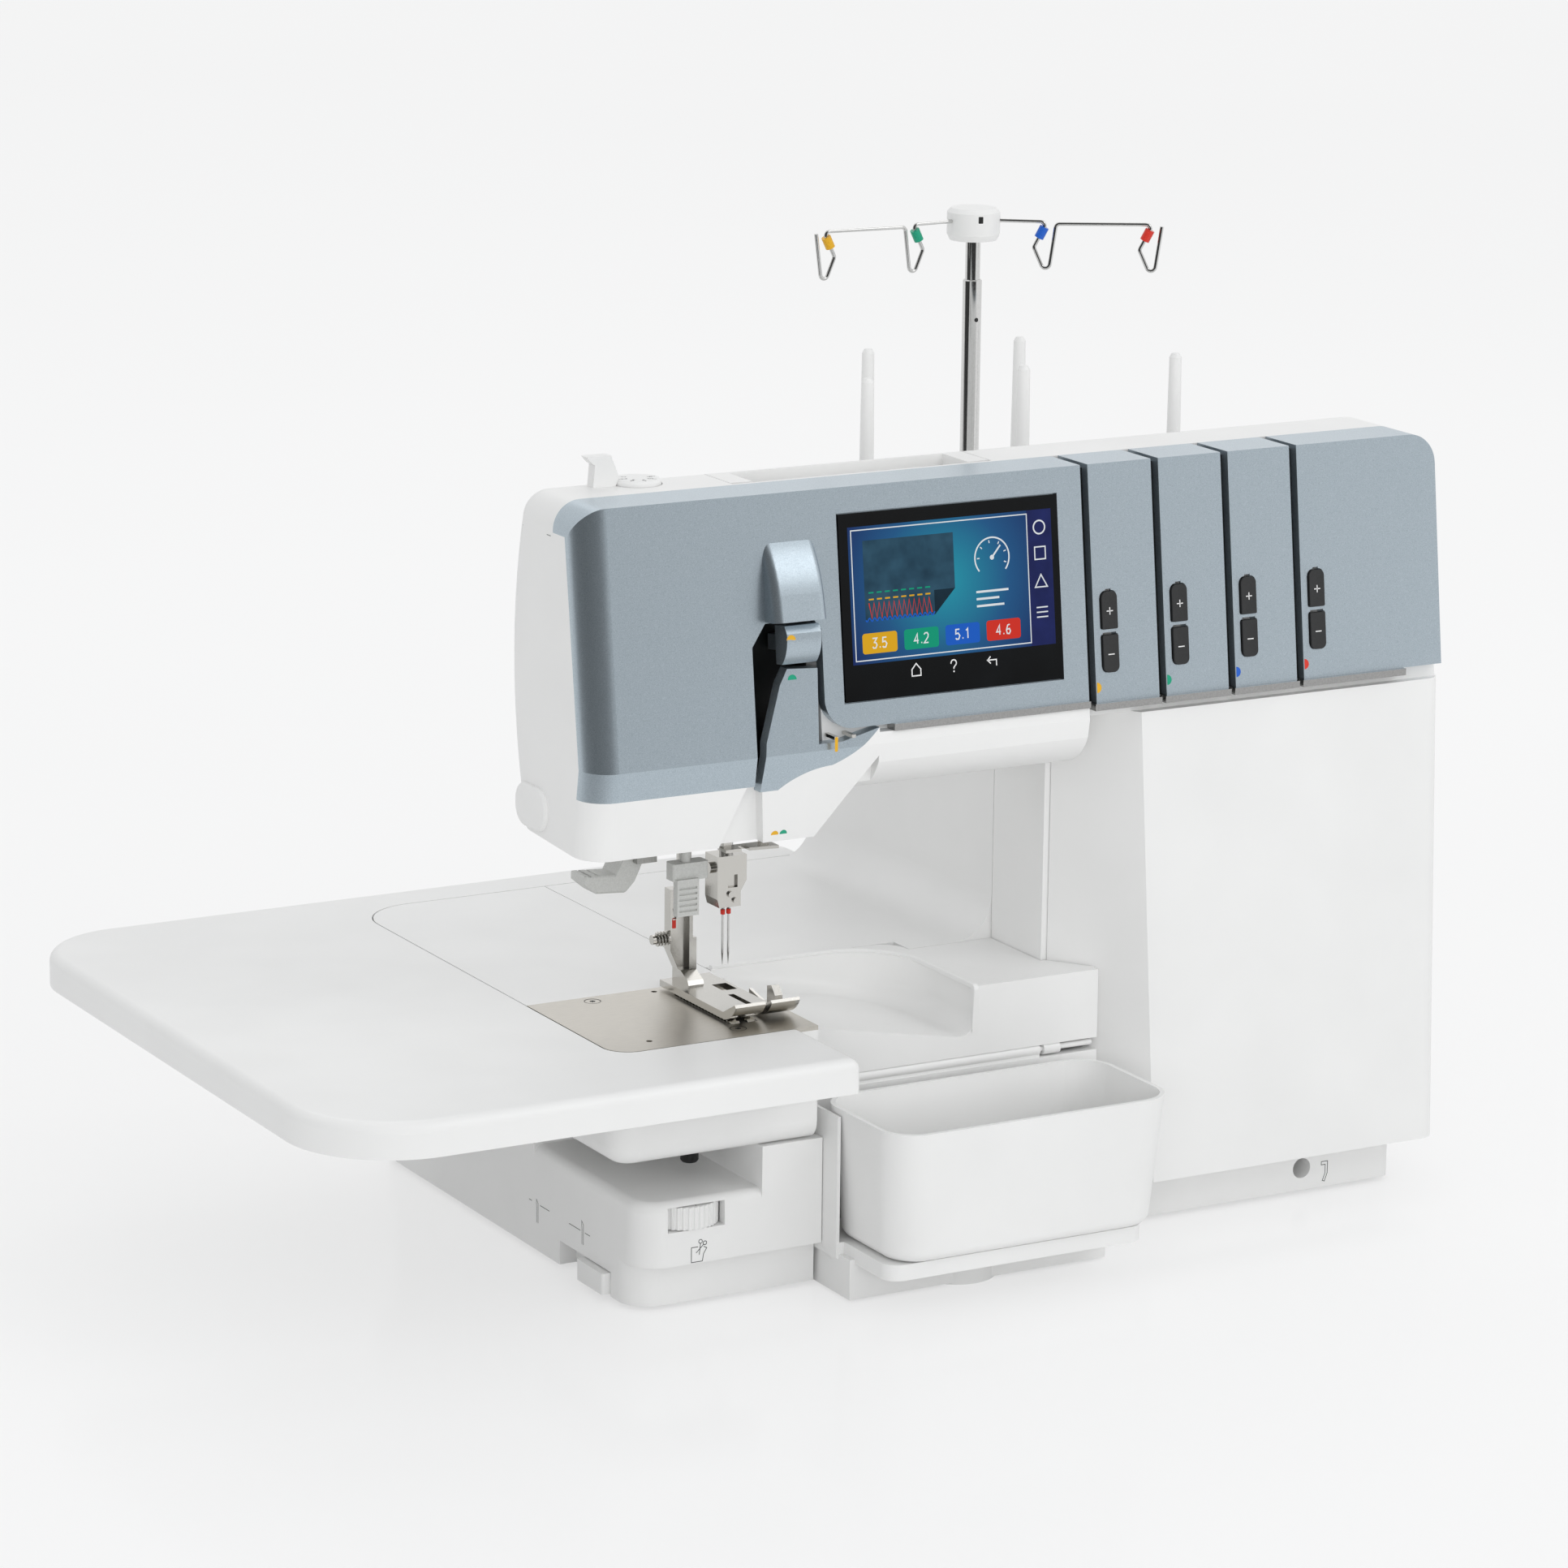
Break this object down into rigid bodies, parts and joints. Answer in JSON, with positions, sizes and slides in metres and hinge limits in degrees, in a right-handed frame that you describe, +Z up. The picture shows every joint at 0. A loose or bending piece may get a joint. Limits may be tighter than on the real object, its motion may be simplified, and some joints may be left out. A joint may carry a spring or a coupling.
{
  "type": "overlock machine",
  "caption": "Domestic overlock machine with free arm, extension table, display panel, thread lanes, waste bin, spool stand and telescopic thread mast.",
  "frame": {"origin": "on the table top below the middle of the machine's outline", "axes": "+X to the machine's right along its length, +Y to its back, +Z up"},
  "size_m": [0.624, 0.398, 0.447],
  "materials": {
    "white_shell": "white moulded casing, fine satin gloss",
    "white_bin": "white moulded plastic",
    "blue_panel": "metallic blue-grey lacquer",
    "black_glass": "black display glass",
    "dark_plastic": "dark slot lining",
    "button_black": "soft black buttons",
    "plate_steel": "satin steel",
    "sewing_steel": "polished nickel steel",
    "bright_chrome": "bright chrome",
    "cast_alloy": "cast light alloy",
    "grey_plastic": "light grey plastic",
    "foot_rubber": "black rubber",
    "bead_plastic": "coloured sleeves, four colours",
    "inlet_plastic": "black plastic"
  },
  "bodies": {
    "machine": {"base_plinth": "white_shell", "rubber_feet": "foot_rubber", "dial_block": "white_shell", "free_arm": "white_shell", "needle_plate": "plate_steel", "lower_knife": "sewing_steel", "rear_casing": "white_shell", "power_inlet": "inlet_plastic", "column_cheek": "white_shell", "front_casing": "white_shell", "lower_front_panel": "white_shell", "upper_casing": "white_shell", "head_side_cover": "white_shell", "head_panel": "blue_panel", "head_skirt": "white_shell", "thread_fairing": "blue_panel", "thread_levers": "blue_panel", "display_glass": "black_glass", "lane_doors": "blue_panel", "bright_sills": "bright_chrome", "slot_liners": "dark_plastic", "head_frame": "cast_alloy", "thread_guides": "sewing_steel", "spool_stand": "white_shell", "spool_pins": "white_shell", "mast_tube": "bright_chrome", "bin_tray": "white_bin"},
    "table": {"extension_table": "white_shell"},
    "bin": {"waste_bin": "white_bin"},
    "cover": {"looper_cover": "white_shell"},
    "upper_looper_arm": {"upper_looper": "sewing_steel"},
    "lower_looper_arm": {"lower_looper": "sewing_steel"},
    "drive": {"main_shaft": "sewing_steel", "handwheel": "white_shell"},
    "needle": {"needle_bar": "bright_chrome", "needle_clamp": "sewing_steel", "needles": "bright_chrome"},
    "presser": {"presser_ankle": "sewing_steel", "ankle_spring": "sewing_steel", "presser_foot": "sewing_steel"},
    "lifter": {"presser_lifter": "grey_plastic"},
    "threader": {"needle_threader": "grey_plastic"},
    "knife": {"upper_knife": "sewing_steel"},
    "feed": {"feed_dogs": "sewing_steel"},
    "handle": {"carry_handle": "white_shell"},
    "pressure": {"pressure_dial": "white_shell"},
    "width": {"cutting_width_dial": "white_shell"},
    "knife_lock": {"knife_lock_slider": "white_shell"},
    "mast": {"mast_rod": "bright_chrome", "mast_cap": "white_shell", "guide_wires": "bright_chrome", "thread_beads": "bead_plastic"},
    "button_minus_1_cap": {"button_minus_1": "button_black"},
    "button_plus_1_cap": {"button_plus_1": "button_black"},
    "button_minus_2_cap": {"button_minus_2": "button_black"},
    "button_plus_2_cap": {"button_plus_2": "button_black"},
    "button_minus_3_cap": {"button_minus_3": "button_black"},
    "button_plus_3_cap": {"button_plus_3": "button_black"},
    "button_minus_4_cap": {"button_minus_4": "button_black"},
    "button_plus_4_cap": {"button_plus_4": "button_black"}
  },
  "joints": [
    {"name": "table_slide", "type": "slide", "parent": "machine", "child": "table", "axis": [-1, 0, 0], "range_m": [0, 0.12]},
    {"name": "bin_slide", "type": "slide", "parent": "machine", "child": "bin", "axis": [0, -1, 0], "range_m": [0, 0.12]},
    {"name": "cover_hinge", "type": "hinge", "parent": "machine", "child": "cover", "pos_m": [0, -0.1125, 0.0905], "axis": [1, 0, 0], "range_deg": [0, 85]},
    {"name": "handwheel_turn", "type": "hinge", "parent": "machine", "child": "drive", "pos_m": [0.2, -0.062, 0.066], "axis": [1, 0, 0], "range_deg": [0, 180]},
    {"name": "needle_stroke", "type": "slide", "parent": "machine", "child": "needle", "axis": [0, 0, -1], "range_m": [0, 0.03]},
    {"name": "feed_stroke", "type": "slide", "parent": "machine", "child": "feed", "axis": [0, 1, 0], "range_m": [0, 0.003]},
    {"name": "knife_stroke", "type": "slide", "parent": "machine", "child": "knife", "axis": [0, 0, -1], "range_m": [0, 0.008]},
    {"name": "upper_looper_swing", "type": "hinge", "parent": "machine", "child": "upper_looper_arm", "pos_m": [0.03, -0.082, 0.048], "axis": [0, -1, 0], "range_deg": [0, 12]},
    {"name": "lower_looper_swing", "type": "hinge", "parent": "machine", "child": "lower_looper_arm", "pos_m": [0, -0.074, 0.048], "axis": [0, -1, 0], "range_deg": [0, 12]},
    {"name": "lifter_turn", "type": "hinge", "parent": "machine", "child": "lifter", "pos_m": [-0.108, -0.074, 0.201], "axis": [0, 1, 0], "range_deg": [0, 20]},
    {"name": "presser_lift", "type": "slide", "parent": "machine", "child": "presser", "axis": [0, 0, 1], "range_m": [0, 0.006]},
    {"name": "threader_press", "type": "slide", "parent": "machine", "child": "threader", "axis": [0, 0, -1], "range_m": [0, 0.012], "stiffness_N_per_m": 100, "springref_m": -0.01},
    {"name": "handle_turn", "type": "hinge", "parent": "machine", "child": "handle", "pos_m": [0, -0.079, 0.3615], "axis": [1, 0, 0], "range_deg": [0, 90]},
    {"name": "pressure_turn", "type": "hinge", "parent": "machine", "child": "pressure", "pos_m": [-0.104, -0.066, 0.365], "axis": [0, 0, 1], "range_deg": [-140, 140]},
    {"name": "width_turn", "type": "hinge", "parent": "machine", "child": "width", "pos_m": [-0.1085, -0.121, 0.044], "axis": [0, 0, 1], "range_deg": [-150, 150]},
    {"name": "knife_lock_slide", "type": "slide", "parent": "machine", "child": "knife_lock", "axis": [0, 1, 0], "range_m": [0, 0.024]},
    {"name": "mast_slide", "type": "slide", "parent": "machine", "child": "mast", "axis": [0, 0, 1], "range_m": [-0.018, 0.08]},
    {"name": "button_minus_1_press", "type": "slide", "parent": "machine", "child": "button_minus_1_cap", "axis": [0, 0.9927, -0.1207], "range_m": [0, 0.0008], "stiffness_N_per_m": 600, "springref_m": -0.0004},
    {"name": "button_plus_1_press", "type": "slide", "parent": "machine", "child": "button_plus_1_cap", "axis": [0, 0.9927, -0.1207], "range_m": [0, 0.0008], "stiffness_N_per_m": 600, "springref_m": -0.0004},
    {"name": "button_minus_2_press", "type": "slide", "parent": "machine", "child": "button_minus_2_cap", "axis": [0, 0.9927, -0.1207], "range_m": [0, 0.0008], "stiffness_N_per_m": 600, "springref_m": -0.0004},
    {"name": "button_plus_2_press", "type": "slide", "parent": "machine", "child": "button_plus_2_cap", "axis": [0, 0.9927, -0.1207], "range_m": [0, 0.0008], "stiffness_N_per_m": 600, "springref_m": -0.0004},
    {"name": "button_minus_3_press", "type": "slide", "parent": "machine", "child": "button_minus_3_cap", "axis": [0, 0.9927, -0.1207], "range_m": [0, 0.0008], "stiffness_N_per_m": 600, "springref_m": -0.0004},
    {"name": "button_plus_3_press", "type": "slide", "parent": "machine", "child": "button_plus_3_cap", "axis": [0, 0.9927, -0.1207], "range_m": [0, 0.0008], "stiffness_N_per_m": 600, "springref_m": -0.0004},
    {"name": "button_minus_4_press", "type": "slide", "parent": "machine", "child": "button_minus_4_cap", "axis": [0, 0.9927, -0.1207], "range_m": [0, 0.0008], "stiffness_N_per_m": 600, "springref_m": -0.0004},
    {"name": "button_plus_4_press", "type": "slide", "parent": "machine", "child": "button_plus_4_cap", "axis": [0, 0.9927, -0.1207], "range_m": [0, 0.0008], "stiffness_N_per_m": 600, "springref_m": -0.0004}
  ],
  "couplings": [
    {"joint": "needle_stroke", "follows": "handwheel_turn", "m_per_rad": 0.0095},
    {"joint": "feed_stroke", "follows": "handwheel_turn", "m_per_rad": 0.0009},
    {"joint": "knife_stroke", "follows": "handwheel_turn", "m_per_rad": 0.0025},
    {"joint": "upper_looper_swing", "follows": "handwheel_turn", "ratio": 0.066},
    {"joint": "lower_looper_swing", "follows": "handwheel_turn", "ratio": 0.066},
    {"joint": "lifter_turn", "follows": "presser_lift", "rad_per_m": 58.1}
  ]
}
